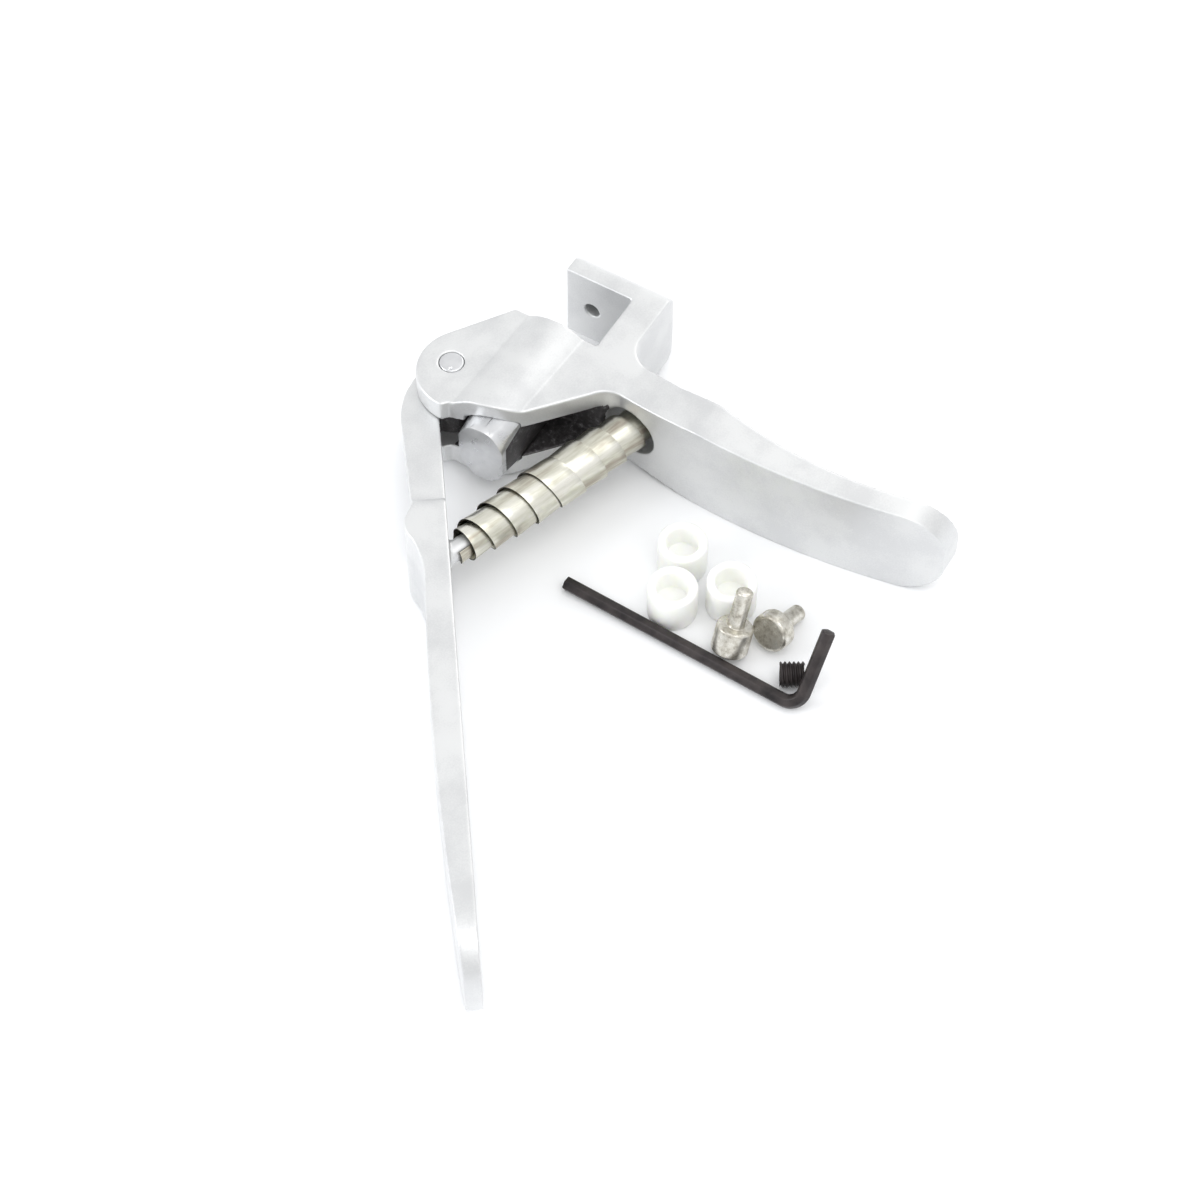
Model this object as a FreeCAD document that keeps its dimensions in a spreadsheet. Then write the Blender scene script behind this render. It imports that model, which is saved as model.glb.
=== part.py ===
import FreeCAD
import Part
import math
import os
from FreeCAD import Placement, Rotation, Vector

# Hand press pliers. The origin is the centre of the die socket's mouth in the anvil face.
# +X is the way the plunger presses, +Z is the thickness of the tool, which lies flat.

doc = FreeCAD.newDocument("press_pliers")

SIZES = {
    # frame head and throat
    "head_thick": 22, "boss_radius": 13.2, "throat_gap": 16, "throat_drop": 11,
    "anvil_rise": 7, "anvil_depth": 9.5, "anvil_bulge": 5.5, "arm_drop": 18.8, "arm_corner": 5,
    "anvil_corner": 3.5,
    "boss_front": -13, "boss_drop": -0.3, "boss_skew": 0.05,
    "slot_width": 10.6, "slot_front": 27, "slot_low": 20, "fit_gap": 0.05, "stock": 80,
    # pivot, ear and lever
    "pivot_x": -37.3, "pivot_y": 15.2, "pin_radius": 3, "pin_edge": 0.3,
    "ear_radius": 11.8, "ear_drop": 4.2,
    "hub_radius": 8.4, "hub_thick": 10, "lever_angle": 216.1, "lever_length": 157.5,
    "lever_inner": 3.7, "lever_thin": 8.3, "lever_grip": 6.3, "grip_width": 26,
    "step_start": 34, "step_end": 41, "nose_reach": 12.3, "nose_radius": 3, "nose_neck": 4.6,
    "nose_lag": 13.25, "tip_round": 12, "seat_along": 46.2, "seat_radius": 2.4, "seat_length": 8,
    "seat_root": 2.5,
    # fixed handle
    "handle_width": 26.4, "handle_end": -105.5, "handle_round": 11.5, "flare_start": -24,
    "flare_end": -44,
    # plunger and die sockets
    "plunger_radius": 9, "plunger_flat": 12, "plunger_rear": -49.7, "plunger_front": -16.5,
    "notch_gap": 0.15, "notch_floor": -0.5, "die_bore": 2, "anvil_socket": 8,
    "plunger_socket": 10, "screw_radius": 3, "screw_key": 3, "thread_gap": 0.03,
    "anvil_screw_x": 4.6, "plunger_screw_back": 4, "screw_tip_radius": 1.2, "screw_point": 1.2,
    "key_depth": 2.4, "tip_gap": 0.15, "anvil_screw_length": 4.6, "plunger_screw_length": 3.6,
    # volute spring
    "pocket_x": -25.6, "pocket_y": -26, "pocket_radius": 6.8, "pocket_depth": 5,
    "spring_angle": -18.6, "spring_length": 54.7, "spring_end_radius": 4.4,
    "spring_mid_radius": 6.3, "spring_taper": 2.4, "spring_steps": 9, "strip_wall": 1.2, "spring_gap": 0.1,
    # loose pieces, all on the ground under the tool
    "ground": -13.2, "rest_gap": 0.02,
    "cup_radius": 5.75, "cup_height": 10, "cup_hole": 3.8, "cup_recess": 6, "cup_edge": 0.5,
    "die_edge": 0.4,
    "die_head_radius": 4.3, "die_head": 7, "die_stem_radius": 1.95, "die_stem": 9.5,
    "flat_head_radius": 4.6, "flat_head": 4, "flat_stem": 8, "spare_length": 5.8,
    "tall_die_tilt": 23,
    "key_flats": 3, "key_long": 63, "key_short": 21, "key_bend": 4, "key_roll": 54,
}

CUP_PLACES = {"nylon_cup_near": (-56.5, -55.2), "nylon_cup_far": (-44.7, -51.0),
              "nylon_cup_low": (-48.4, -65.9)}
TALL_DIE_PLACE = (-60.0, -71.9)
FLAT_DIE_PLACE = (-54.2, -78.6)
FLAT_DIE_TURN = -10
SPARE_SCREW_PLACE = (-61.1, -84.7)
SPARE_SCREW_TURN = -59
KEY_CORNER = (-65.4, -92.6)
KEY_TURN = 88

X_AXIS, Y_AXIS, Z_AXIS = Vector(1, 0, 0), Vector(0, 1, 0), Vector(0, 0, 1)


def make_sheet():
    sheet = doc.addObject("Spreadsheet::Sheet", "sizes")
    for row, (name, number) in enumerate(SIZES.items(), start=1):
        sheet.set("A%d" % row, name)
        sheet.set("B%d" % row, str(number))
        sheet.setAlias("B%d" % row, name)
    doc.recompute()
    return sheet


SHEET = make_sheet()


def size(name):
    return float(SHEET.get(name))


def bind(item, sizes):
    for prop, formula in sizes.items():
        item.setExpression(prop, formula)
    return item


def lay_along(axis, x=0, y=0, z=0):
    return Placement(Vector(x, y, z), Rotation(Z_AXIS, axis))


def cylinder(name, radius, height, place):
    item = bind(doc.addObject("Part::Cylinder", name), {"Radius": radius, "Height": height})
    item.Placement = place
    return item


def block(name, length, width, height, corner):
    item = bind(doc.addObject("Part::Box", name),
                {"Length": length, "Width": width, "Height": height})
    for letter, formula in zip("xyz", corner):
        item.setExpression("Placement.Base." + letter, formula)
    return item


def combine(kind, name, *shapes):
    item = doc.addObject("Part::" + kind, name)
    item.Shapes = list(shapes)
    return item


def cut(name, base, tool):
    item = doc.addObject("Part::Cut", name)
    item.Base, item.Tool = base, tool
    return item


def draw(sketch, start, steps):
    """Each step is one point for a line, or two points for an arc through the first."""
    here = Vector(*start)
    for step in steps:
        if isinstance(step[0], tuple):
            end = Vector(*step[1])
            sketch.addGeometry(Part.Arc(here, Vector(*step[0]), end), False)
        else:
            end = Vector(*step)
            sketch.addGeometry(Part.LineSegment(here, end), False)
        here = end


def slab(name, start, steps, height, place=None, side=Z_AXIS):
    """An outline pushed out equally to both sides of its own plane."""
    sketch = doc.addObject("Sketcher::SketchObject", name + "_outline")
    draw(sketch, start, steps)
    if place:
        sketch.Placement = place
    item = doc.addObject("Part::Extrusion", name)
    item.Base, item.Dir, item.DirMode = sketch, side, "Custom"
    item.Solid, item.Symmetric = True, True
    return bind(item, {"LengthFwd": height})


def along_circle(centre, radius, degrees):
    turn = math.radians(degrees)
    return (centre[0] + radius * math.cos(turn), centre[1] + radius * math.sin(turn))


# ------------------------------------------------------------------ frame casting

def head_outline():
    gap, drop = -size("throat_gap"), -size("throat_drop")
    back, low, corner = size("anvil_depth"), -size("arm_drop"), size("arm_corner")
    bend = corner * (1 - math.sqrt(0.5))
    rise, turn = size("anvil_rise"), size("anvil_corner")
    turn_bend = turn * (1 - math.sqrt(0.5))
    ear, ear_radius = (size("pivot_x"), size("pivot_y") - size("ear_drop")), size("ear_radius")
    return (0, rise), [
        (back - turn, rise), ((back - turn_bend, rise - turn_bend), (back, rise - turn)),
        (back, low + corner),
        ((back - bend, low + bend), (back - corner, low)), (-9.5, low),
        ((-14, -20.8), (-16, -25.5)), (-17.6, -34), (-26.4, -34), (-25.6, -23.2),
        ((-26.4, -19.8), (-28.8, -17.2)), (-40.5, -7.3), ((-44.2, -2.6), (-46.2, 4.2)),
        (-47.6, 9.4), along_circle(ear, ear_radius, 181.5),
        (along_circle(ear, ear_radius, 118), along_circle(ear, ear_radius, 55)),
        (gap - 0.4, rise + 3.9), (gap, drop), (0, drop), (0, rise)]


def handle_outline():
    end = size("handle_end")
    return (-15.6, -22), [
        (-17.4, -34), (-17.9, -46), ((-21.2, -72), (-15.6, end)), (-22, end),
        ((-28.2, -63), (-26.6, -29.4)), (-25.7, -23.5), (-20, -20), (-15.6, -22)]


def handle_side():
    wide, thin, end = size("handle_width") / 2, size("head_thick") / 2, size("handle_end")
    turn, flare = size("handle_round"), (size("flare_start"), size("flare_end"))
    bend = turn * (1 - math.sqrt(0.5))
    return (-18, thin), [
        (flare[0], thin), (flare[1], wide), (end + turn, wide),
        ((end + bend, wide - bend), (end, wide - turn)), (end, turn - wide),
        ((end + bend, bend - wide), (end + turn, -wide)), (flare[1], -wide),
        (flare[0], -thin), (-18, -thin), (-18, thin)]


def plunger_section(name, gap, start, length):
    """A round bar with two flats, lying along the press axis."""
    bar = cylinder(name + "_bar", "sizes.plunger_radius + %s" % gap, length,
                   lay_along(X_AXIS, start))
    flats = block(name + "_flats", length, "sizes.plunger_flat + 2 * %s" % gap,
                  "4 * sizes.plunger_radius",
                  ("%f" % start, "-sizes.plunger_flat / 2 - %s" % gap, "-2 * sizes.plunger_radius"))
    return combine("MultiCommon", name, bar, flats)


def screw_way(name, x):
    """A threaded hole above a die socket and the narrow way for the screw's point."""
    thread = cylinder(name + "_thread", "sizes.screw_radius + sizes.thread_gap", "sizes.stock",
                      lay_along(Y_AXIS, x, size("die_bore") + 2 * size("tip_gap")))
    tip = cylinder(name + "_tip_way", "sizes.screw_tip_radius + 2 * sizes.tip_gap",
                   "2 * sizes.screw_point", lay_along(Y_AXIS, x, size("die_bore") - 1))
    return thread, tip


def spring_inward():
    """The spring's axis, from the lever towards the fixed handle."""
    turn = math.radians(size("spring_angle"))
    return Vector(math.cos(turn), math.sin(turn), 0)


def spring_end():
    """The middle of the spring pocket's mouth."""
    return Vector(size("pocket_x"), size("pocket_y"), 0)


def frame_casting():
    prism = slab("head_prism", *head_outline(), "4 * sizes.boss_radius")
    plate = block("head_plate", "sizes.stock", "sizes.stock", "sizes.head_thick",
                  ("-4 - sizes.stock", "-sizes.stock / 2", "-sizes.head_thick / 2"))
    bulge_radius = ("(pow(sizes.head_thick / 2; 2) + pow(sizes.anvil_bulge; 2))"
                    " / (2 * sizes.anvil_bulge)")
    barrel = cylinder("anvil_barrel", bulge_radius, "sizes.stock", Placement())
    doc.recompute()
    barrel.Placement = lay_along(Y_AXIS, size("anvil_depth") - barrel.Radius.Value,
                                 -size("stock") / 2)
    level = block("anvil_level", "sizes.stock", "sizes.stock", "sizes.head_thick",
                  ("-sizes.stock / 2", "-sizes.stock / 2", "-sizes.head_thick / 2"))
    anvil = combine("MultiCommon", "anvil_back", barrel, level)
    boss = cylinder("plunger_boss", "sizes.boss_radius", "sizes.stock",
                    Placement(Vector(size("boss_front"), size("boss_drop"), 0),
                              Rotation(Z_AXIS, Vector(-1, size("boss_skew"), 0))))
    head = combine("MultiCommon", "head", prism,
                   combine("MultiFuse", "head_envelope", plate, anvil, boss))
    side = slab("handle_side", *handle_side(), "sizes.stock",
                Placement(Vector(0, 0, 0), Rotation(Y_AXIS, Z_AXIS, X_AXIS, "ZXY")), X_AXIS)
    grip = combine("MultiCommon", "fixed_grip",
                   slab("handle_prism", *handle_outline(), "sizes.stock"), side)
    solid = combine("MultiFuse", "casting_solid", head, grip)

    pin = cylinder("pin_hole", "sizes.pin_radius", "sizes.stock",
                   Placement(Vector(size("pivot_x"), size("pivot_y"), -size("stock") / 2),
                             Rotation()))
    slot = block("lever_slot", "sizes.stock", "sizes.stock", "sizes.slot_width",
                 ("-sizes.stock - sizes.slot_front", "-sizes.slot_low", "-sizes.slot_width / 2"))
    passage = plunger_section("plunger_passage", "sizes.fit_gap", -10 - size("stock"),
                              "sizes.stock")
    socket = cylinder("anvil_die_socket", "sizes.die_bore", "sizes.anvil_socket",
                      lay_along(X_AXIS))
    mouth = spring_end() - spring_inward() * size("pocket_depth")
    pocket = cylinder("spring_pocket", "sizes.pocket_radius", "2 * sizes.pocket_depth",
                      Placement(mouth, Rotation(Z_AXIS, spring_inward())))
    holes = combine("MultiFuse", "casting_holes", pin, slot, passage, socket, pocket,
                    *screw_way("anvil", size("anvil_screw_x")))
    return cut("frame_casting", solid, holes)


# ------------------------------------------------------------------ lever

def lever_place():
    return Placement(Vector(size("pivot_x"), size("pivot_y"), 0),
                     Rotation(Z_AXIS, size("lever_angle")))


def lever_outline():
    """Along the lever from the pivot; the inner face is towards +Y of the lever's own frame."""
    inner, reach = -size("lever_inner"), size("lever_length")
    thin, grip = inner - size("lever_thin"), inner - size("lever_grip")
    return (0, inner), [
        (reach, inner), (reach, inner - 3.6), ((106, grip - 0.1), (60, grip + 0.5)),
        ((54, grip - 0.5), (50.5, thin + 0.3)), ((48, thin - 1), (44.5, thin - 1.1)),
        (size("step_end"), thin + 0.6), (size("step_start"), thin + 0.5), (14, thin - 0.4),
        ((7, thin - 0.2), (-1.5, thin + 3.75)), (0, inner)]


def lever_side():
    wide, thin, end = size("grip_width") / 2, size("hub_thick") / 2, size("lever_length")
    turn = size("tip_round")
    bend = turn * (1 - math.sqrt(0.5))
    ramp = ((size("step_start"), thin), (size("step_end"), wide))
    return (-12, thin), [
        ramp[0], ((36.5, thin + 1.2), (38, (wide + thin) / 2)),
        ((39.2, wide - 1.1), ramp[1]), (end - turn, wide),
        ((end - bend, wide - bend), (end, wide - turn)), (end, turn - wide),
        ((end - bend, bend - wide), (end - turn, -wide)), (ramp[1][0], -wide),
        ((39.2, 1.1 - wide), (38, -(wide + thin) / 2)), ((36.5, -thin - 1.2), (ramp[0][0], -thin)),
        (-12, -thin), (-12, thin)]


def lever_handle():
    prism = slab("lever_prism", *lever_outline(), "sizes.stock")
    side = slab("lever_side", *lever_side(), "sizes.stock",
                Placement(Vector(0, 0, 0), Rotation(X_AXIS, 90)), Y_AXIS)
    arm = combine("MultiCommon", "lever_arm", prism, side)
    low = Vector(0, 0, -size("hub_thick") / 2)
    hub = cylinder("lever_hub", "sizes.hub_radius", "sizes.hub_thick",
                   Placement(low, Rotation()))
    toward = 270 - size("nose_lag") - size("lever_angle")
    turn = math.radians(toward)
    reach = Vector(math.cos(turn), math.sin(turn), 0) * size("nose_reach")
    nose = cylinder("lever_nose", "sizes.nose_radius", "sizes.hub_thick",
                    Placement(low + reach, Rotation()))
    neck = bind(doc.addObject("Part::Box", "nose_neck"),
                {"Length": "sizes.nose_reach", "Width": "sizes.nose_neck",
                 "Height": "sizes.hub_thick"})
    side_step = Vector(math.sin(turn), -math.cos(turn), 0) * size("nose_neck") / 2
    neck.Placement = Placement(low + side_step, Rotation(Z_AXIS, toward))
    seat_turn = math.radians(size("spring_angle") - size("lever_angle"))
    outward = Vector(math.cos(seat_turn), math.sin(seat_turn), 0)
    foot = Vector(size("seat_along"), -size("lever_inner"), 0) - outward * size("seat_root")
    seat = cylinder("spring_seat", "sizes.seat_radius", "sizes.seat_length",
                    Placement(foot, Rotation(Z_AXIS, outward)))
    solid = combine("MultiFuse", "lever_solid", arm, hub, nose, neck, seat)
    bore = cylinder("lever_bore", "sizes.pin_radius + sizes.fit_gap", "sizes.stock",
                    Placement(Vector(0, 0, -size("stock") / 2), Rotation()))
    lever = cut("lever_handle", solid, bore)
    lever.Placement = lever_place()
    return lever


def pivot_pin():
    radius, length, edge = size("pin_radius"), size("head_thick"), size("pin_edge")
    pin = turned("pivot_pin", [(0, 0), (radius - edge, 0), (radius, edge),
                               (radius, length - edge), (radius - edge, length), (0, length)])
    pin.Placement = Placement(Vector(size("pivot_x"), size("pivot_y"), -length / 2), Rotation())
    return pin


# ------------------------------------------------------------------ plunger and its screw

def plunger_screw_x():
    return size("plunger_front") - size("plunger_screw_back")


def plunger():
    length = size("plunger_front") - size("plunger_rear")
    bar = plunger_section("plunger_section", "0", size("plunger_rear"), "%f" % length)
    turn = math.radians(270 - size("nose_lag"))
    middle = size("pivot_x") + size("nose_reach") * math.cos(turn)
    half = size("nose_radius") + size("notch_gap")
    notch = block("nose_notch", "2 * (sizes.nose_radius + sizes.notch_gap)", "sizes.stock",
                  "sizes.stock", ("%f" % (middle - half), "sizes.notch_floor", "-sizes.stock / 2"))
    socket = cylinder("plunger_die_socket", "sizes.die_bore", "sizes.plunger_socket",
                      lay_along(X_AXIS, size("plunger_front") - size("plunger_socket")))
    holes = combine("MultiFuse", "plunger_holes", notch, socket,
                    *screw_way("plunger", plunger_screw_x()))
    return cut("plunger", bar, holes)


def set_screw(name, length, place):
    """A headless screw with a hexagon socket and a cone point at its own origin."""
    point = bind(doc.addObject("Part::Cone", name + "_point"),
                 {"Radius1": "sizes.screw_tip_radius", "Radius2": "sizes.screw_radius",
                  "Height": "sizes.screw_point"})
    shank = cylinder(name + "_shank", "sizes.screw_radius", "sizes.%s - sizes.screw_point" % length,
                     Placement(Vector(0, 0, size("screw_point")), Rotation()))
    key = bind(doc.addObject("Part::Prism", name + "_key"),
               {"Circumradius": "sizes.screw_key / sqrt(3)", "Height": "sizes.stock"})
    key.Polygon = 6
    depth = min(size("key_depth"), size(length) / 2)
    key.Placement = Placement(Vector(0, 0, size(length) - depth), Rotation())
    body = cut(name, combine("MultiFuse", name + "_solid", point, shank), key)
    body.Placement = place
    return body


# ------------------------------------------------------------------ volute spring

def spring_profile():
    """A stepped sleeve, narrow at both ends, that stands for the coiled strip."""
    steps, length = int(size("spring_steps")), size("spring_length")
    low, high, wall = size("spring_end_radius"), size("spring_mid_radius"), size("strip_wall")
    outer, inner = [], []
    for number in range(steps):
        off_middle = abs(2 * (number + 0.5) / steps - 1)
        radius = high - (high - low) * off_middle ** size("spring_taper")
        for edge in (number, number + 1):
            outer.append(Vector(edge * length / steps, radius, 0))
            inner.append(Vector(edge * length / steps, radius - wall, 0))
    return outer + inner[::-1]


def volute_spring():
    points = spring_profile()
    wire = Part.makePolygon(points + [points[0]])
    item = doc.addObject("Part::Feature", "volute_spring")
    item.Shape = Part.Face(wire).revolve(Vector(0, 0, 0), X_AXIS, 360)
    reach = size("spring_length") - size("pocket_depth") + size("spring_gap")
    item.Placement = Placement(spring_end() - spring_inward() * reach,
                               Rotation(X_AXIS, spring_inward()))
    return item


# ------------------------------------------------------------------ loose pieces

def body_sketch(body, name, role):
    plane = [item for item in body.Origin.OriginFeatures if item.Role == role][0]
    sketch = body.newObject("Sketcher::SketchObject", name)
    sketch.AttachmentSupport, sketch.MapMode = [(plane, "")], "FlatFace"
    return sketch


def turned(name, profile):
    """A body of revolution about its own Z axis; the profile lists radius and height."""
    body = doc.addObject("PartDesign::Body", name)
    sketch = body_sketch(body, name + "_profile", "XZ_Plane")
    draw(sketch, profile[0], profile[1:] + profile[:1])
    spin = body.newObject("PartDesign::Revolution", name + "_turning")
    spin.Profile, spin.ReferenceAxis, spin.Angle = sketch, (sketch, ["V_Axis"]), 360
    return body


def resting_level():
    """A loose piece stays a hair above the ground, so that it touches nothing at rest."""
    return size("ground") + size("rest_gap")


def nylon_cup(name, place):
    radius, height, hole = size("cup_radius"), size("cup_height"), size("cup_hole")
    floor, edge = height - size("cup_recess"), size("cup_edge")
    cup = turned(name, [(0, 0), (radius - edge, 0), (radius, edge), (radius, height - edge),
                        (radius - edge, height), (hole + edge, height), (hole, height - edge),
                        (hole, floor), (0, floor)])
    cup.Placement = Placement(Vector(*place, size("ground")), Rotation())
    return cup


def die(name, head_radius, head, stem, place):
    """Head on the ground side, stem up along its own Z axis."""
    edge, stem_radius = size("die_edge"), size("die_stem_radius")
    body = turned(name, [(0, 0), (head_radius - edge, 0), (head_radius, edge),
                         (head_radius, head - edge), (head_radius - edge, head),
                         (stem_radius, head), (stem_radius, head + stem - edge),
                         (stem_radius - edge, head + stem), (0, head + stem)])
    body.Placement = place
    return body


def tall_die_place():
    """The head stands on its rim and leans back on the hexagon key beside it."""
    tilt = math.radians(size("tall_die_tilt"))
    lift = size("die_head_radius") * math.sin(tilt)
    return Placement(Vector(*TALL_DIE_PLACE, resting_level() + lift),
                     Rotation(Y_AXIS, size("tall_die_tilt")))


def flat_die_place():
    """The die lies on its head's rim and on the end of its stem."""
    head = size("flat_head_radius")
    dip = math.atan((head - size("die_stem_radius")) / size("flat_stem"))
    lie = Rotation(Z_AXIS, FLAT_DIE_TURN) * Rotation(Y_AXIS, 90 + math.degrees(dip))
    lift = head * math.cos(dip) + size("flat_head") * math.sin(dip)
    return Placement(Vector(*FLAT_DIE_PLACE, resting_level() + lift), lie)


def hex_key():
    body = doc.addObject("PartDesign::Body", "hex_key")
    across, bend = size("key_flats"), size("key_bend")
    reach, rise = size("key_long") - across / 2, size("key_short") - across / 2
    path = body_sketch(body, "key_path", "XY_Plane")
    turn = bend * (1 - math.sqrt(0.5))
    draw(path, (reach, 0), [(bend, 0), ((turn, turn), (0, bend)), (0, rise)])
    section = body_sketch(body, "key_section", "YZ_Plane")
    corner = across / math.sqrt(3)
    points = [along_circle((0, 0), corner, 60 * number) for number in range(6)]
    draw(section, points[0], points[1:] + points[:1])
    section.AttachmentOffset = Placement(Vector(0, 0, reach), Rotation())
    pipe = body.newObject("PartDesign::AdditivePipe", "key_bar")
    pipe.Profile, pipe.Spine = section, (path, [])
    lie = Rotation(Z_AXIS, KEY_TURN) * Rotation(X_AXIS, 180 - size("key_roll"))
    drop = corner * math.cos(math.radians(30 - size("key_roll") % 60))
    body.Placement = Placement(Vector(*KEY_CORNER, resting_level() + drop), lie)
    return body


# ------------------------------------------------------------------ the set of pieces

def spare_screw_place():
    turn = Rotation(Z_AXIS, SPARE_SCREW_TURN) * Rotation(Y_AXIS, 90)
    return Placement(Vector(*SPARE_SCREW_PLACE, resting_level() + size("screw_radius")), turn)


def build_pieces():
    screw_y = size("die_bore") + size("tip_gap")
    pieces = {
        "frame_casting": frame_casting(), "lever_handle": lever_handle(),
        "pivot_pin": pivot_pin(), "plunger": plunger(), "volute_spring": volute_spring(),
        "anvil_set_screw": set_screw("anvil_set_screw", "anvil_screw_length",
                                     lay_along(Y_AXIS, size("anvil_screw_x"), screw_y)),
        "plunger_set_screw": set_screw("plunger_set_screw", "plunger_screw_length",
                                       lay_along(Y_AXIS, plunger_screw_x(), screw_y)),
        "spare_set_screw": set_screw("spare_set_screw", "spare_length", spare_screw_place()),
        "tall_die": die("tall_die", size("die_head_radius"), size("die_head"), size("die_stem"),
                        tall_die_place()),
        "flat_die": die("flat_die", size("flat_head_radius"), size("flat_head"),
                        size("flat_stem"), flat_die_place()),
        "hex_key": hex_key(),
    }
    for name, place in CUP_PLACES.items():
        pieces[name] = nylon_cup(name, place)
    return pieces


def check(pieces):
    for item in doc.Objects:
        bad = [state for state in item.State if state in ("Invalid", "Error")]
        if bad:
            raise RuntimeError("%s is %s" % (item.Name, bad))
    for name, item in pieces.items():
        if item.Shape.isNull() or not item.Shape.isValid() or item.Shape.Volume <= 0:
            raise RuntimeError(name + " has no sound shape")


def write(pieces):
    os.makedirs("parts", exist_ok=True)
    for name, item in pieces.items():
        item.Label = name
        item.Shape.exportStep("parts/%s.step" % name)
        box = item.Shape.BoundBox
        print("%-18s %9.1f mm3 solids %d  x %.1f..%.1f y %.1f..%.1f z %.1f..%.1f" % (
            name, item.Shape.Volume, len(item.Shape.Solids), box.XMin, box.XMax, box.YMin,
            box.YMax, box.ZMin, box.ZMax))


PIECES = build_pieces()
doc.recompute()
check(PIECES)
write(PIECES)
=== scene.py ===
import math

import bpy
from mathutils import Matrix, Vector


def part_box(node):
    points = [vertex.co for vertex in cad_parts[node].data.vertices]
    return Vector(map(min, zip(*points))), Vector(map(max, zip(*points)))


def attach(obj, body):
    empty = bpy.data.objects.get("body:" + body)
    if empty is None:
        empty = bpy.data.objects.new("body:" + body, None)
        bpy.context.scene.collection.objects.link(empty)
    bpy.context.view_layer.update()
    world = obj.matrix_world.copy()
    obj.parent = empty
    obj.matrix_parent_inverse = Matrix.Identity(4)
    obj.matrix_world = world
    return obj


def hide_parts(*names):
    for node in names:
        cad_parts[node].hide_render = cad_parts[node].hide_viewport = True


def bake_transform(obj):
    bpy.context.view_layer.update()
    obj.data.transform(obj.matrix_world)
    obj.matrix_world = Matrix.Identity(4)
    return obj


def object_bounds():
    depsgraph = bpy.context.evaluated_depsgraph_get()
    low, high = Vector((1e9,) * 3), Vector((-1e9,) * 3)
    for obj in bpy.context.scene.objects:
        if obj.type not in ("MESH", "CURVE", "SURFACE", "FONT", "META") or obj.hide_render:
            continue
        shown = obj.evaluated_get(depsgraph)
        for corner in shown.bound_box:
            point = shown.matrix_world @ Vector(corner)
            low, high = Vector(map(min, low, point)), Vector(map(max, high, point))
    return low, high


# Lengths in the dictionaries are millimetres; mm turns them into the scene's metres.
mm = 0.001
springTurn = -18.6  # degrees from the press axis to the spring's, in plan
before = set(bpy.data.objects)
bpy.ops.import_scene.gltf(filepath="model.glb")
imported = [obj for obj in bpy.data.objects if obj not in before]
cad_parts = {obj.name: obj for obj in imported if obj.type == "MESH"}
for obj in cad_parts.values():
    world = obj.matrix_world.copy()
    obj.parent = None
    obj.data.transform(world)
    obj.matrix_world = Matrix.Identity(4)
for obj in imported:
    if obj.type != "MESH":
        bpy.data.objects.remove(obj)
cadBox = [list(corner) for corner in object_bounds()]


# picking and editing

def pickOnly(piece):
    bpy.ops.object.select_all(action="DESELECT")
    piece.select_set(True)
    bpy.context.view_layer.objects.active = piece


def editAll(piece):
    pickOnly(piece)
    bpy.ops.object.mode_set(mode="EDIT")
    bpy.ops.mesh.select_all(action="SELECT")


def pickFaces(piece, rule):  # leaves the piece in edit mode with the faces picked
    pickOnly(piece)
    bpy.ops.object.mode_set(mode="EDIT")
    bpy.ops.mesh.select_mode(type="FACE")
    bpy.ops.mesh.select_all(action="DESELECT")
    bpy.ops.object.mode_set(mode="OBJECT")
    for face in piece.data.polygons:
        face.select = rule(face)
    bpy.ops.object.mode_set(mode="EDIT")


def closeShell(piece, weld=0.002):
    editAll(piece)
    bpy.ops.mesh.remove_doubles(threshold=weld * mm)
    bpy.ops.mesh.normals_make_consistent(inside=False)
    bpy.ops.object.mode_set(mode="OBJECT")


def modify(piece, kind, **values):
    pickOnly(piece)
    modifier = piece.modifiers.new(kind.title(), kind)
    for name, value in values.items():
        setattr(modifier, name, value)
    bpy.ops.object.modifier_apply(modifier=modifier.name)


def carve(piece, tool, operation):
    modify(piece, "BOOLEAN", object=tool, operation=operation, solver="EXACT")
    bpy.data.objects.remove(tool)


def paintFaces(piece, finish, rule):
    piece.data.materials.append(finish)
    pickFaces(piece, rule)
    piece.active_material_index = len(piece.data.materials) - 1
    bpy.ops.object.material_slot_assign()
    bpy.ops.object.mode_set(mode="OBJECT")


def roundEdges(piece, width, sharp=30, segments=3):
    modify(piece, "BEVEL", width=width * mm, segments=segments, limit_method="ANGLE",
           angle_limit=math.radians(sharp), use_clamp_overlap=False, miter_outer="MITER_ARC")


def shade(piece, angle=35):
    pickOnly(piece)
    bpy.ops.object.shade_smooth_by_angle(angle=math.radians(angle))


def putAt(piece, place):
    piece.matrix_world = place
    pickOnly(piece)
    bpy.ops.object.transform_apply(location=True, rotation=True, scale=True)


def copyOfNode(node, name):
    piece = bpy.data.objects.new(name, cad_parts[node].data.copy())
    bpy.context.scene.collection.objects.link(piece)
    piece.data.materials.clear()
    pickOnly(piece)
    bpy.ops.mesh.customdata_custom_splitnormals_clear()
    closeShell(piece)
    return piece


def flattenFaces(piece, flat=0.6):  # each plane's triangles become one face, ready for a bevel
    editAll(piece)
    bpy.ops.mesh.dissolve_limited(angle_limit=math.radians(flat))
    bpy.ops.object.mode_set(mode="OBJECT")


def middleOf(node):
    low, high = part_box(node)
    return (low + high) / 2


def hand(piece, body, slot, *nodes):
    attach(piece, body)
    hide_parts(*nodes)


# materials

def newMaterial(name, **shader):
    material = bpy.data.materials.new(name)
    material.use_nodes = True
    surface = material.node_tree.nodes["Principled BSDF"]
    for socket, value in shader.items():
        surface.inputs[socket.replace("_", " ")].default_value = value
    return material


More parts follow.
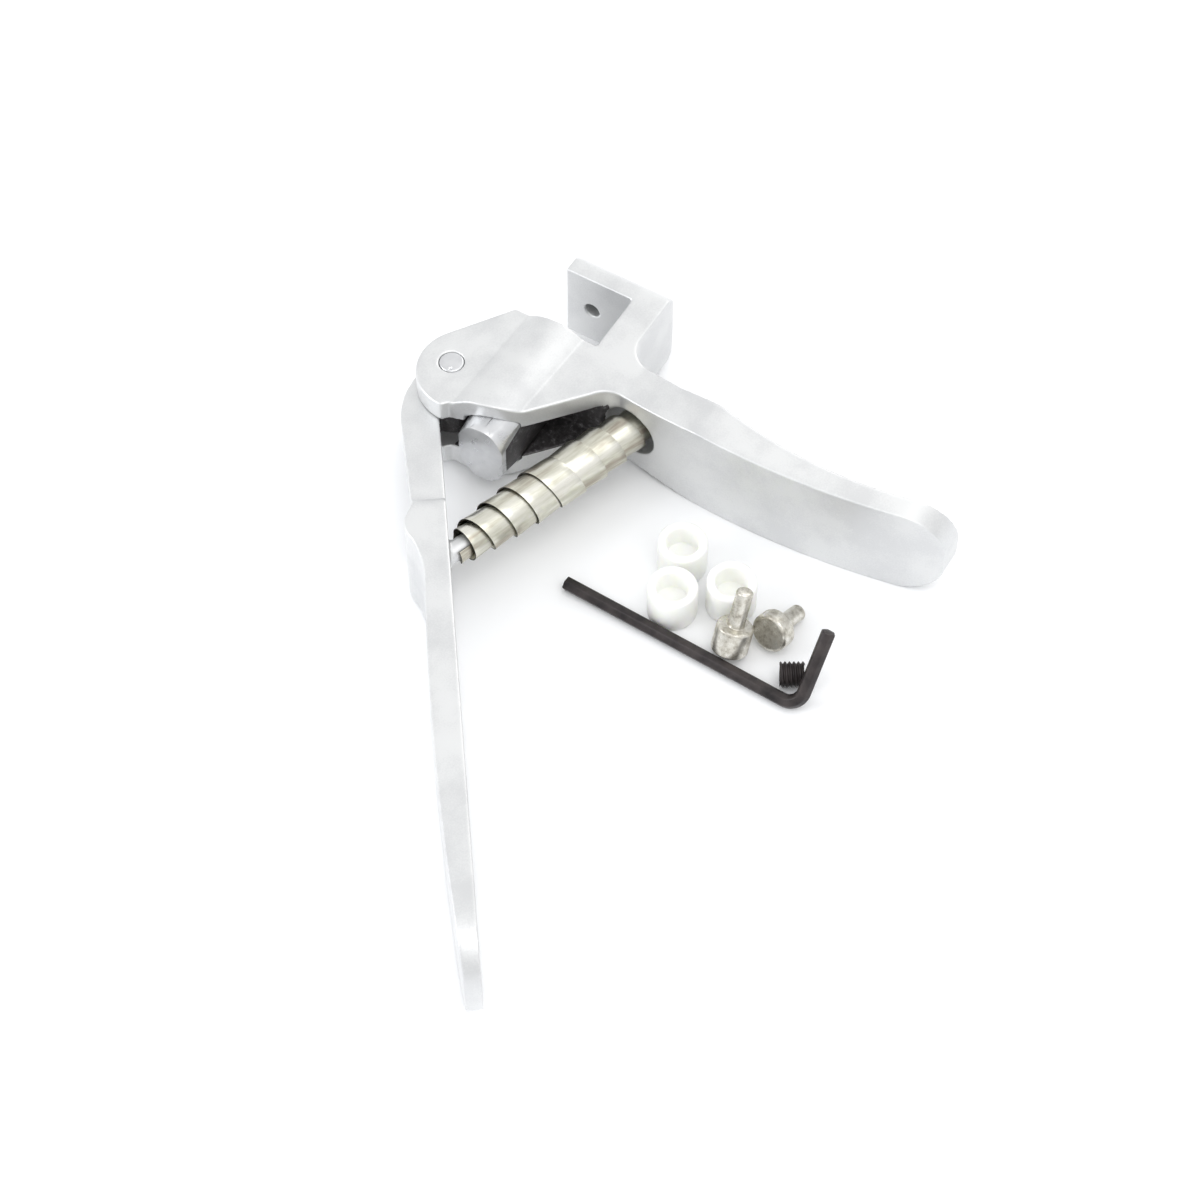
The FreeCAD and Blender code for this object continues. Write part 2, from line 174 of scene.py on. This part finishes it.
def addNode(material, kind, inputs=None, **values):
    node = material.node_tree.nodes.new(kind)
    for name, value in values.items():
        setattr(node, name, value)
    for socket, value in (inputs or {}).items():
        if hasattr(value, "is_output"):
            material.node_tree.links.new(value, node.inputs[socket])
        else:
            node.inputs[socket].default_value = value
    return node


def join(material, output, socket):
    surface = material.node_tree.nodes["Principled BSDF"]
    material.node_tree.links.new(output, surface.inputs[socket])


def place(material, stretch=(1, 1, 1), turn=0, shift=(0, 0, 0)):
    where = addNode(material, "ShaderNodeTexCoord").outputs["Object"]
    mapping = addNode(material, "ShaderNodeMapping", {
        "Vector": where, "Scale": stretch, "Rotation": (0, 0, math.radians(turn)),
        "Location": shift})
    return mapping.outputs["Vector"]


def speckle(material, where, scale, detail=3, rough=0.55):
    noise = addNode(material, "ShaderNodeTexNoise", {
        "Vector": where, "Scale": scale, "Detail": detail, "Roughness": rough})
    return noise.outputs["Fac"]


def spread(material, factor, low, high, start=0.3, end=0.7):
    ramp = addNode(material, "ShaderNodeMapRange", {
        "Value": factor, "From Min": start, "From Max": end, "To Min": low, "To Max": high})
    return ramp.outputs["Result"]


def tint(material, factor, *stops):
    ramp = addNode(material, "ShaderNodeValToRGB", {"Fac": factor})
    marks = ramp.color_ramp.elements
    for number, (position, colour) in enumerate(stops):
        mark = marks[number] if number < 2 else marks.new(position)
        mark.position, mark.color = position, (*colour, 1)
    return ramp.outputs["Color"]


def addBump(material, height, strength, distance, before=None):
    inputs = {"Height": height, "Strength": strength, "Distance": distance * mm}
    if before:
        inputs["Normal"] = before
    return addNode(material, "ShaderNodeBump", inputs).outputs["Normal"]


castFinish = {
    "metallic": 0.82, "pale": (0.8, (0.74, 0.745, 0.745)), "grey": (0.55, (0.66, 0.665, 0.67)),
    "grain": 2600, "cloud": 90, "fleck": 0.4, "grainHeight": 0.03, "gloss": (0.36, 0.48),
    "frameGrain": 0.5, "leverGrain": 0.9,
}
pocketMarks = {"centre": (-26.6, -30, 11), "inner": 3, "outer": 12, "scale": 3400,
               "strength": 0.35, "depth": 0.05}


def castAluminium(name, grainStrength, toolMarks=None):
    finish = newMaterial(name, Metallic=castFinish["metallic"])
    where = place(finish)
    cloud = speckle(finish, where, castFinish["cloud"], detail=4)
    grain = speckle(finish, where, castFinish["grain"], detail=2)
    fleck = addNode(finish, "ShaderNodeMath", {0: grain, 1: castFinish["fleck"], 2: cloud},
                    operation="MULTIPLY_ADD").outputs[0]
    join(finish, tint(finish, fleck, castFinish["grey"], castFinish["pale"]), "Base Color")
    join(finish, spread(finish, cloud, *castFinish["gloss"]), "Roughness")
    normal = addBump(finish, grain, grainStrength, castFinish["grainHeight"])
    if toolMarks:
        normal = cutterMarks(finish, normal, toolMarks)
    join(finish, normal, "Normal")
    return finish


def cutterMarks(finish, before, marks):  # fine upright lines left by the cutter round the pocket
    lines = speckle(finish, place(finish, stretch=(1, 1, 0.03)), marks["scale"], detail=2)
    centred = place(finish, shift=tuple(-value * mm for value in marks["centre"]))
    reach = addNode(finish, "ShaderNodeVectorMath", {0: centred}, operation="LENGTH")
    near = spread(finish, reach.outputs["Value"], 1, 0, marks["inner"] * mm, marks["outer"] * mm)
    height = addNode(finish, "ShaderNodeMath", {0: lines, 1: near},
                     operation="MULTIPLY").outputs[0]
    return addBump(finish, height, marks["strength"], marks["depth"], before)


# stops are the patches' colours, gloss the roughness from the dark patches to the pale ones,
# grain the finer noise that roughens the surface, and bump its strength and depth
patchy = {
    # dark finish for the slot walls, the lever's hub and the plunger's flats: dark scale together
    # with painted shade for the slot's shadow
    "slotScaleAndShade": {
        "metallic": 0.55, "patch": 900, "detail": 6, "rough": 0.7, "gloss": (0.32, 0.6),
        "stops": ((0.36, (0.045, 0.042, 0.044)), (0.55, (0.085, 0.08, 0.082)),
                  (0.74, (0.3, 0.3, 0.31))),
        "bump": (0.6, 0.15)},
    "machinedSteel": {
        "metallic": 0.9, "patch": 260, "detail": 4, "rough": 0.55, "gloss": (0.24, 0.4),
        "stops": ((0.3, (0.62, 0.625, 0.64)), (0.7, (0.74, 0.745, 0.755))),
        "grain": 3200, "grainStretch": (0.04, 1, 1), "bump": (0.12, 0.03)},
    # painted shade: near-black strip edges stand for the dark shadow lines under each coil
    "stripEdgeShade": {
        "metallic": 0.8, "patch": 900, "detail": 3, "rough": 0.55, "gloss": (0.35, 0.6),
        "stops": ((0.4, (0.03, 0.028, 0.025)), (0.7, (0.1, 0.095, 0.09)))},
    "dullNickel": {
        "metallic": 0.95, "patch": 520, "detail": 6, "rough": 0.7, "gloss": (0.46, 0.22),
        "stops": ((0.3, (0.27, 0.245, 0.2)), (0.46, (0.56, 0.535, 0.47)),
                  (0.66, (0.78, 0.765, 0.71))),
        "grain": 2400, "bump": (0.3, 0.03)},
    "blackOxide": {
        "metallic": 0.45, "patch": 260, "detail": 5, "rough": 0.55, "gloss": (0.3, 0.46),
        "stops": ((0.35, (0.02, 0.017, 0.018)), (0.65, (0.055, 0.046, 0.045))),
        "grain": 1800, "bump": (0.25, 0.03)},
    "nickelStrip": {
        "metallic": 1.0, "patch": 330, "detail": 5, "rough": 0.6, "gloss": (0.4, 0.27),
        "stops": ((0.36, (0.42, 0.375, 0.31)), (0.47, (0.61, 0.6, 0.51)),
                  (0.62, (0.8, 0.785, 0.72))),
        "turn": -springTurn, "stretch": (0.12, 1, 1), "bump": (0.15, 0.04)},
}


def patchyMetal(name):
    sizes = patchy[name]
    finish = newMaterial(name, Metallic=sizes["metallic"])
    where = place(finish, turn=sizes.get("turn", 0))
    if "stretch" in sizes:  # after the turn, so the streaks run along the coil
        where = addNode(finish, "ShaderNodeMapping", {
            "Vector": where, "Scale": sizes["stretch"]}).outputs["Vector"]
    patches = speckle(finish, where, sizes["patch"], sizes["detail"], sizes["rough"])
    join(finish, tint(finish, patches, *sizes["stops"]), "Base Color")
    join(finish, spread(finish, patches, *sizes["gloss"]), "Roughness")
    relief = patches
    if "grain" in sizes:
        stretch = sizes.get("grainStretch", (1, 1, 1))
        relief = speckle(finish, place(finish, stretch=stretch), sizes["grain"], detail=2)
    if "bump" in sizes:
        join(finish, addBump(finish, relief, *sizes["bump"]), "Normal")
    return finish


def whiteNylon():
    finish = newMaterial("whiteNylon", Roughness=0.55, Subsurface_Weight=0.5,
                         Subsurface_Radius=(0.9, 1.0, 0.7), Subsurface_Scale=0.0015)
    cloud = speckle(finish, place(finish), 300, detail=3)
    join(finish, tint(finish, cloud, (0.3, (0.93, 0.935, 0.885)), (0.7, (0.96, 0.96, 0.94))),
         "Base Color")
    join(finish, addBump(finish, speckle(finish, place(finish), 1500), 0.15, 0.03), "Normal")
    return finish


finishes = {
    "casting": castAluminium("castAluminium", castFinish["frameGrain"], pocketMarks),
    "lever": castAluminium("blastedAluminium", castFinish["leverGrain"]),
    "slot": patchyMetal("slotScaleAndShade"),
    "steel": patchyMetal("machinedSteel"),
    "strip": patchyMetal("nickelStrip"),
    "stripEdgeShade": patchyMetal("stripEdgeShade"),
    "die": patchyMetal("dullNickel"),
    "oxide": patchyMetal("blackOxide"),
    "nylon": whiteNylon(),
}
print("materials made")


# frame casting and lever: the CAD shape with the edges rolled over as a cast and blasted part has

casting = {"voxel": 0.36, "relax": 5, "relaxShare": 0.5, "keep": 0.62, "smoothUpTo": 80,
           "slotHalf": 5.7, "slotBack": -47, "slotFront": -25.5, "slotLow": -20.4, "slotHigh": 9}
lever = {"voxel": 0.38, "relax": 6, "relaxShare": 0.5, "keep": 0.62, "smoothUpTo": 80,
         "slotHalf": 4.9, "slotReach": 16}


def softenCasting(piece, sizes):
    piece.data.remesh_voxel_size = sizes["voxel"] * mm
    piece.data.use_remesh_fix_poles = False
    pickOnly(piece)
    bpy.ops.object.voxel_remesh()
    modify(piece, "SMOOTH", factor=sizes["relaxShare"], iterations=sizes["relax"])
    modify(piece, "DECIMATE", ratio=sizes["keep"])
    shade(piece, sizes["smoothUpTo"])


def inSlot(face):
    x, y, z = (value / mm for value in face.center)
    return abs(z) < casting["slotHalf"] and casting["slotBack"] < x < casting["slotFront"] \
        and casting["slotLow"] < y < casting["slotHigh"]


def makeCasting():
    piece = copyOfNode("frame_casting", "frameCasting")
    softenCasting(piece, casting)
    piece.data.materials.append(finishes["casting"])
    # the slot's inner walls get the dark slot finish: their dark scale together with painted shade
    # inside the slot
    paintFaces(piece, finishes["slot"], inSlot)
    hand(piece, "frame", "cast_aluminium", "frame_casting")


def makeLever():
    piece = copyOfNode("lever_handle", "leverHandle")
    softenCasting(piece, lever)
    piece.data.materials.append(finishes["lever"])
    pivot = middleOf("pivot_pin")
    # the lever's hub faces inside the slot get the dark slot finish: painted shade where the hub
    # sits in the slot, with its dark scale
    paintFaces(piece, finishes["slot"],
               lambda face: abs(face.center.z) < lever["slotHalf"] * mm and
               face.normal.y < 0 and face.center.y < pivot.y and
               (face.center - pivot).xy.length < lever["slotReach"] * mm)
    hand(piece, "lever", "cast_aluminium", "lever_handle")


makeCasting()
makeLever()
print("casting and lever made")


# pivot pin: a flush pin with a rounded rim and one punch mark that keeps it from walking out

pin = {"radius": 2.88, "rim": 0.4, "sides": 96, "inset": 1.2, "dish": 0.06, "endFacing": 0.9,
       "punchRadius": 1.3, "punchDepth": 1.6, "punchAway": 1.95, "punchTurn": 201,
       "punchSides": 32}


def makePin():
    low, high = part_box("pivot_pin")
    centre = middleOf("pivot_pin")
    bpy.ops.object.select_all(action="DESELECT")
    bpy.ops.mesh.primitive_cylinder_add(vertices=pin["sides"], radius=pin["radius"] * mm,
                                        depth=high.z - low.z, location=centre)
    piece = bpy.context.object
    piece.name = "pivotPin"
    putAt(piece, piece.matrix_world.copy())
    pickFaces(piece, lambda face: abs(face.normal.z) > pin["endFacing"])
    bpy.ops.mesh.inset(thickness=pin["inset"] * mm, depth=-pin["dish"] * mm)
    bpy.ops.object.mode_set(mode="OBJECT")
    roundEdges(piece, pin["rim"], sharp=60)
    turn = math.radians(pin["punchTurn"])
    mark = Vector((math.cos(turn), math.sin(turn), 0)) * pin["punchAway"] * mm
    punchMark(piece, Vector((centre.x, centre.y, high.z)) + mark)
    piece.data.materials.append(finishes["steel"])
    shade(piece)
    hand(piece, "frame", "machined_steel", "pivot_pin")


def punchMark(piece, spot):
    bpy.ops.object.select_all(action="DESELECT")
    bpy.ops.mesh.primitive_cone_add(vertices=pin["punchSides"],
                                    radius1=pin["punchRadius"] * mm, radius2=0,
                                    depth=pin["punchDepth"] * mm, location=spot,
                                    rotation=(math.pi, 0, 0))
    carve(piece, bpy.context.object, "DIFFERENCE")


makePin()


# plunger: a turned bar with two milled flats, crisp but broken edges

plunger = {"edge": 0.35, "clean": 1.6,  # clean is the turned length at the end; flats stay dark
           "oval": 9.3, "ovalFront": 13.9, "squeeze": 0.69, "sides": 160, "beyond": 0.1,
           "flatFacing": 0.97}


def easeRearEnd(piece):  # the flats run out into an oval end
    low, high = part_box("plunger")
    bpy.ops.object.select_all(action="DESELECT")
    bpy.ops.mesh.primitive_cone_add(vertices=plunger["sides"], radius1=plunger["oval"] * mm,
                                    radius2=plunger["ovalFront"] * mm,
                                    depth=high.x - low.x + plunger["beyond"] * mm,
                                    location=middleOf("plunger"), rotation=(0, math.pi / 2, 0),
                                    scale=(1, plunger["squeeze"], 1))
    carve(piece, bpy.context.object, "INTERSECT")


def makePlunger():
    piece = copyOfNode("plunger", "plungerBar")
    easeRearEnd(piece)
    flattenFaces(piece)
    roundEdges(piece, plunger["edge"], sharp=40, segments=2)
    piece.data.materials.append(finishes["steel"])
    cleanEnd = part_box("plunger")[0].x + plunger["clean"] * mm
    editAll(piece)
    bpy.ops.mesh.bisect(plane_co=(cleanEnd, 0, 0), plane_no=(1, 0, 0))
    bpy.ops.object.mode_set(mode="OBJECT")
    paintFaces(piece, finishes["slot"],
               lambda face: abs(face.normal.y) > plunger["flatFacing"] and
               face.center.x > cleanEnd)
    shade(piece)
    hand(piece, "press", "machined_steel", "plunger")


makePlunger()
print("pin and plunger made")


# volute spring: one strip wound up to the middle coil and down again, each coil tucked in the next

spring = {
    "turn": springTurn, "length": 54.7, "coils": 9, "thick": 0.3, "midRadius": 5.95,
    "endRadius": 3.95, "taper": 2.0, "overlap": 2.2, "cone": 0.5, "buttTurns": 0.35,
    "perTurn": 72, "across": 4, "startTurns": -0.6, "endTurns": 9.2,
    "lapTurns": 0.3, "swapTurns": 0.6, "margin": 0.1, "phase": 355, "edge": 0.06,
    "tailWidth": 6.5, "tailCurl": 0.6, "tailFrom": 0.35, "tailTurns": 1.1, "tailReach": 3.2,
    "tailRise": 2.5, "blendStart": 0.02, "blendEnd": 0.95,
}


def clamp(value, low, high):
    return max(low, min(high, value))


def lapAt(boundary):  # how far two neighbouring coils overlap where they meet
    away = abs(boundary - spring["coils"] / 2)
    return spring["overlap"] * clamp((away - spring["buttTurns"]) / spring["lapTurns"], 0, 1)


def coilEdges(turns):
    pitch = spring["length"] / spring["coils"]
    left = pitch * (turns - 0.5) - lapAt(turns - 0.5) / 2
    right = pitch * (turns + 0.5) + lapAt(turns + 0.5) / 2
    left = max(left, spring["margin"])
    if turns < 0.5:
        right = max(right, spring["tailWidth"])
        left -= spring["tailReach"] * clamp(-turns * spring["tailRise"], 0, 1)
    return left, min(right, spring["length"] - spring["margin"])


def coilRadius(turns):
    offMiddle = abs(2 * turns / spring["coils"] - 1)
    drop = (spring["midRadius"] - spring["endRadius"]) * min(offMiddle, 1) ** spring["taper"]
    tail = clamp(spring["tailFrom"] - turns, 0, spring["tailTurns"]) * spring["tailCurl"]
    return spring["midRadius"] - drop - tail


def windStrip():
    winding = spring["endTurns"] - spring["startTurns"]
    bpy.ops.object.select_all(action="DESELECT")
    bpy.ops.mesh.primitive_grid_add(x_subdivisions=int(winding * spring["perTurn"]),
                                    y_subdivisions=spring["across"], size=1)
    piece = bpy.context.object
    piece.name = "voluteSpring"
    for point in piece.data.vertices:
        turns = spring["startTurns"] + winding * (point.co.x + 0.5)
        share = point.co.y + 0.5
        left, right = coilEdges(turns)
        side = clamp((spring["coils"] / 2 - turns) / spring["swapTurns"], -1, 1)
        tuck = spring["cone"] * (share if side > 0 else 1 - share) * abs(side)
        radius = coilRadius(turns) - tuck
        turn = 2 * math.pi * turns + math.radians(spring["phase"])
        point.co = (left + (right - left) * share, radius * math.cos(turn),
                    radius * math.sin(turn))
        point.co *= mm
    return piece


def makeSpring():
    piece = windStrip()
    closeShell(piece)
    piece.data.materials.append(finishes["strip"])
    piece.data.materials.append(finishes["stripEdgeShade"])
    # the solidified rim faces take the second, near-black finish: painted shade along each coil's
    # edge
    modify(piece, "SOLIDIFY", thickness=spring["thick"] * mm, offset=-1, material_offset_rim=1)
    roundEdges(piece, spring["edge"], sharp=60, segments=2)
    inward = Vector((math.cos(math.radians(spring["turn"])),
                     math.sin(math.radians(spring["turn"])), 0))
    start = middleOf("volute_spring") - inward * spring["length"] / 2 * mm
    putAt(piece, Matrix.Translation(start) @ Matrix.Rotation(math.radians(spring["turn"]), 4, "Z"))
    shade(piece)
    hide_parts("volute_spring")
    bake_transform(piece)


makeSpring()
print("spring wound")


# set screws: a rolled thread, broken ends and a hexagon socket

screwSizes = {"crest": 2.95, "root": 2.45, "pitch": 1.0, "socket": 3.0, "socketDepth": 1.9,
              "steps": 48, "edge": 0.35, "blank": 1.02, "blankSides": 64}
# each point of the thread's profile: the share of the pitch and which radius it sits on
threadProfile = ((0, "root"), (0.38, "crest"), (0.5, "crest"), (0.88, "root"), (1.0, "root"))


def threadedBar(name, length):
    pitch = screwSizes["pitch"]
    bpy.ops.object.select_all(action="DESELECT")
    bpy.ops.mesh.primitive_grid_add(x_subdivisions=1, y_subdivisions=len(threadProfile) - 1,
                                    size=1)
    piece = bpy.context.object
    piece.name = name
    pickOnly(piece)
    bpy.ops.object.mode_set(mode="EDIT")
    bpy.ops.mesh.select_mode(type="VERT")
    bpy.ops.mesh.select_all(action="DESELECT")
    bpy.ops.object.mode_set(mode="OBJECT")
    for point in piece.data.vertices:
        point.select = point.co.x > 0
    bpy.ops.object.mode_set(mode="EDIT")
    bpy.ops.mesh.delete(type="VERT")  # one column of points is left as the thread's profile
    bpy.ops.object.mode_set(mode="OBJECT")
    column = sorted(piece.data.vertices, key=lambda point: point.co.y)
    for point, (height, radius) in zip(column, threadProfile):
        point.co = Vector((screwSizes[radius], 0, height * pitch)) * mm
    turns = math.ceil(length / pitch) + 2
    modify(piece, "SCREW", angle=2 * math.pi, screw_offset=pitch * mm, iterations=turns,
           steps=screwSizes["steps"], render_steps=screwSizes["steps"], axis="Z",
           use_merge_vertices=True, merge_threshold=0.001 * mm)
    closeShell(piece)
    putAt(piece, Matrix.Translation((0, 0, -pitch * 1.5 * mm)))  # run-out below, trimmed off
    trim(piece, 0, -1)
    trim(piece, length * mm, 1)
    closeShell(piece)
    return piece


def trim(piece, level, side):
    editAll(piece)
    bpy.ops.mesh.bisect(plane_co=(0, 0, level), plane_no=(0, 0, side), use_fill=True,
                        clear_outer=True, clear_inner=False)
    bpy.ops.object.mode_set(mode="OBJECT")


def setScrew(name, length):
    piece = threadedBar(name, length)
    bpy.ops.object.select_all(action="DESELECT")
    bpy.ops.mesh.primitive_cylinder_add(vertices=screwSizes["blankSides"],
                                        radius=screwSizes["crest"] * screwSizes["blank"] * mm,
                                        depth=length * mm, location=(0, 0, length / 2 * mm))
    blank = bpy.context.object
    roundEdges(blank, screwSizes["edge"], sharp=60, segments=1)
    carve(piece, blank, "INTERSECT")
    bpy.ops.object.select_all(action="DESELECT")
    depth = min(screwSizes["socketDepth"], length / 2)
    bpy.ops.mesh.primitive_cylinder_add(vertices=6,
                                        radius=screwSizes["socket"] / math.sqrt(3) * mm,
                                        depth=2 * depth * mm, location=(0, 0, length * mm))
    carve(piece, bpy.context.object, "DIFFERENCE")
    piece.data.materials.clear()
    piece.data.materials.append(finishes["oxide"])
    return piece


setScrews = {
    "spareSetScrew": {"node": "spare_set_screw", "body": "spare_screw_body", "turn": -59,
                      "length": 5.7},
    "anvilSetScrew": {"node": "anvil_set_screw", "body": "frame", "turn": 90, "length": 4.6},
    "plungerSetScrew": {"node": "plunger_set_screw", "body": "press", "turn": 90, "length": 3.6},
}


def makeSetScrews():
    for name, sizes in setScrews.items():
        length = sizes["length"]
        piece = setScrew(name, length)
        along = Matrix.Rotation(math.radians(sizes["turn"]), 4, "Z") \
            @ Matrix.Rotation(math.radians(90), 4, "Y")
        half = along @ Vector((0, 0, length / 2 * mm))
        putAt(piece, Matrix.Translation(middleOf(sizes["node"]) - half) @ along)
        shade(piece, 40)
        hand(piece, sizes["body"], "black_oxide", sizes["node"])


makeSetScrews()
print("set screws cut")


# loose dies, cups and the hexagon key

dieSizes = {"edge": 0.22, "dish": 0.5, "rim": 0.4, "dishDepth": 0.18, "faceShare": 0.9}
dies = {"tallDie": ("tall_die", "tall_die_body"), "flatDie": ("flat_die", "flat_die_body")}
cups = {"nylonCupNear": ("nylon_cup_near", "near_cup_body"),
        "nylonCupFar": ("nylon_cup_far", "far_cup_body"),
        "nylonCupLow": ("nylon_cup_low", "low_cup_body")}
cupSizes = {"edge": 0.3}
keySizes = {"edge": 0.22}


def makeDies():
    for name, (node, body) in dies.items():
        piece = copyOfNode(node, name)
        flattenFaces(piece)
        widest = max(face.area for face in piece.data.polygons)
        pickFaces(piece, lambda face: face.area > dieSizes["faceShare"] * widest)
        bpy.ops.mesh.inset(thickness=dieSizes["dish"] * mm)
        bpy.ops.mesh.inset(thickness=dieSizes["rim"] * mm, depth=-dieSizes["dishDepth"] * mm)
        bpy.ops.object.mode_set(mode="OBJECT")
        roundEdges(piece, dieSizes["edge"], sharp=35, segments=3)
        piece.data.materials.append(finishes["die"])
        shade(piece)
        hand(piece, body, "dull_nickel", node)


def makeCups():
    for name, (node, body) in cups.items():
        piece = copyOfNode(node, name)
        flattenFaces(piece)
        roundEdges(piece, cupSizes["edge"], sharp=35, segments=4)
        piece.data.materials.append(finishes["nylon"])
        shade(piece, 50)
        hand(piece, body, "white_nylon", node)


def makeKey():
    piece = copyOfNode("hex_key", "hexKey")
    flattenFaces(piece)
    roundEdges(piece, keySizes["edge"], sharp=35, segments=2)
    piece.data.materials.append(finishes["oxide"])
    shade(piece, 40)
    hand(piece, "key", "black_oxide", "hex_key")


makeDies()
makeCups()
makeKey()
print("loose pieces made")


# studio: a white sweep, a big overhead tent light and two softer sides

studio = {"floor": 6.0, "eye": (-389.3, -236.1, 552.3), "target": (-62.4, -39.7, -13.2),
          "lens": 90, "sensor": 36, "near": 0.01, "ambient": 0.98, "sky": (0.99, 0.995, 1)}
lights = {
    "tentTop": {"at": (-150, -380, 900), "size": 900, "power": 2.6, "colour": (1, 1, 1)},
    "sideBack": {"at": (620, -60, 420), "size": 420, "power": 0.8, "colour": (1, 0.99, 0.97)},
    "sideLeft": {"at": (-460, 420, 380), "size": 400, "power": 1.5, "colour": (0.95, 0.97, 1)},
}


def aim(item, target):
    item.rotation_euler = (target - item.location).to_track_quat("-Z", "Y").to_euler()


def makeFloor():
    low = Vector(cadBox[0])
    bpy.ops.object.select_all(action="DESELECT")
    bpy.ops.mesh.primitive_plane_add(size=studio["floor"], location=(0, 0, low.z))
    floor = bpy.context.object
    floor.name = "floor"
    paper = newMaterial("whitePaper", Roughness=0.9)
    cloud = speckle(paper, place(paper), 3)
    join(paper, tint(paper, cloud, (0.3, (0.94, 0.945, 0.955)), (0.7, (0.95, 0.955, 0.965))),
         "Base Color")
    floor.data.materials.append(paper)


def makeLights():
    target = Vector(studio["target"]) * mm
    for name, sizes in lights.items():
        lamp = bpy.data.lights.new(name, "AREA")
        lamp.shape, lamp.size = "DISK", sizes["size"] * mm
        lamp.energy, lamp.color = sizes["power"], sizes["colour"]
        item = bpy.data.objects.new(name, lamp)
        bpy.context.scene.collection.objects.link(item)
        item.location = Vector(sizes["at"]) * mm
        aim(item, target)


def makeCamera():
    lens = bpy.data.cameras.new("camera")
    lens.lens, lens.sensor_width = studio["lens"], studio["sensor"]
    lens.clip_start = studio["near"]
    camera = bpy.data.objects.new("camera", lens)
    bpy.context.scene.collection.objects.link(camera)
    camera.location = Vector(studio["eye"]) * mm
    aim(camera, Vector(studio["target"]) * mm)
    bpy.context.scene.camera = camera


def makeWorld():
    world = bpy.data.worlds.new("tent")
    world.use_nodes = True
    backdrop = world.node_tree.nodes["Background"]
    backdrop.inputs["Color"].default_value = (*studio["sky"], 1)
    backdrop.inputs["Strength"].default_value = studio["ambient"]
    bpy.context.scene.world = world


makeFloor()
makeLights()
makeCamera()
makeWorld()
bpy.context.scene.view_settings.view_transform = "Standard"
print("studio set")
